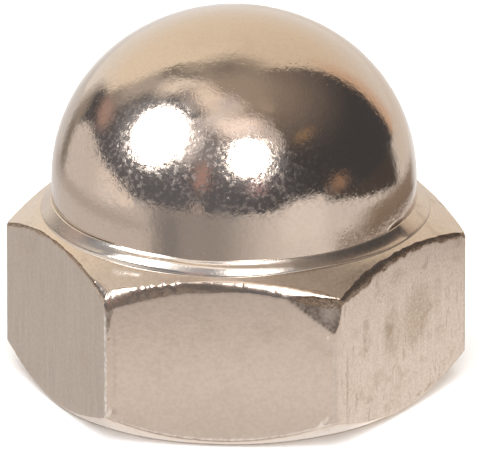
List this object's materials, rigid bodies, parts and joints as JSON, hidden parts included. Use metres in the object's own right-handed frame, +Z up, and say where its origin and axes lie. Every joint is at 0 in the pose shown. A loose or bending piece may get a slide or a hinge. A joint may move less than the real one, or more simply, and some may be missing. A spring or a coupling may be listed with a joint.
{
  "type": "cap nut",
  "caption": "Domed cap nut: a hexagon with a turned shoulder and collar, and a blind tapped hole under a closed round crown.",
  "frame": {"origin": "centre of the bearing face, which the nut stands on", "axes": "+Z up the nut's axis to the nose of the crown; one flat faces -Y and two corners lie on X"},
  "size_m": [0.0128, 0.0112, 0.0106],
  "materials": {
    "nickel_plate": "warm nickel plate: mirror-bright on the turned crown and collar, satin with drawing lines on the flats"
  },
  "bodies": {
    "root": {"cap_nut": "nickel_plate"}
  },
  "joints": []
}
